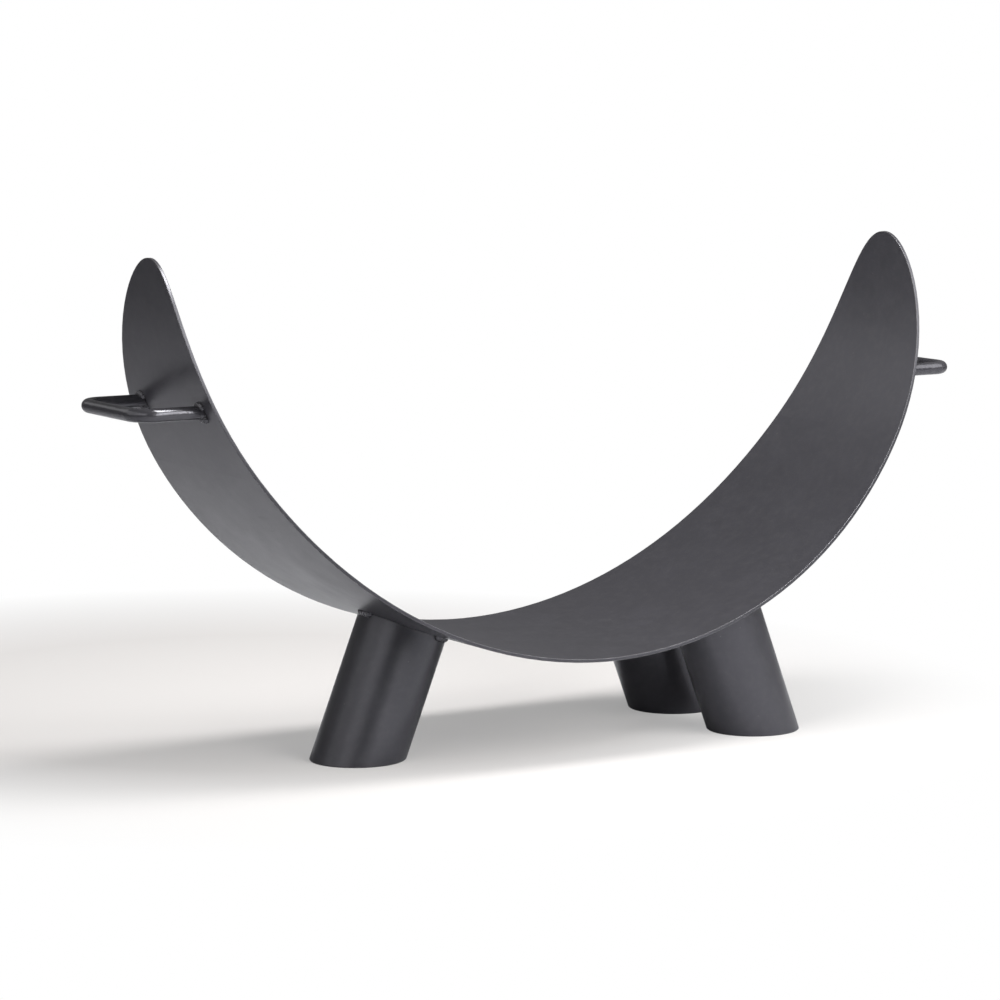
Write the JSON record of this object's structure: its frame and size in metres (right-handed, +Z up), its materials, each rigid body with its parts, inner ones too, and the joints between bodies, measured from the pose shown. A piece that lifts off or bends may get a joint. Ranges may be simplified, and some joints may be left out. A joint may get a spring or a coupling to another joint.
{
  "type": "firewood rack",
  "caption": "Free-standing firewood rack: a rolled oval steel plate carried like a cradle on leaning tube legs, with a bent rod carrying handle under each end.",
  "frame": {"origin": "on the floor, below the middle of the plate", "axes": "+X from the single left leg to the pair of right legs, +Y to the back, +Z up"},
  "size_m": [0.8826, 0.252, 0.4557],
  "materials": {
    "painted_plate": "satin charcoal stove paint",
    "painted_tube": "satin charcoal stove paint",
    "painted_rod": "satin charcoal stove paint",
    "painted_weld": "satin charcoal stove paint over weld bead"
  },
  "bodies": {
    "root": {"cradle_plate": "painted_plate", "leg_left": "painted_tube", "leg_right_front": "painted_tube", "leg_right_back": "painted_tube", "handle_left": "painted_rod", "handle_right": "painted_rod", "weld_leg_left_outer": "painted_weld", "weld_leg_left_front": "painted_weld", "weld_leg_left_back": "painted_weld", "weld_leg_right_front_outer": "painted_weld", "weld_leg_right_front_front": "painted_weld", "weld_leg_right_front_back": "painted_weld", "weld_leg_right_back_outer": "painted_weld", "weld_leg_right_back_front": "painted_weld", "weld_leg_right_back_back": "painted_weld", "weld_handle_left_front_top": "painted_weld", "weld_handle_left_front_under": "painted_weld", "weld_handle_left_back_top": "painted_weld", "weld_handle_left_back_under": "painted_weld", "weld_handle_right_front_top": "painted_weld", "weld_handle_right_front_under": "painted_weld", "weld_handle_right_back_top": "painted_weld", "weld_handle_right_back_under": "painted_weld"}
  },
  "joints": []
}
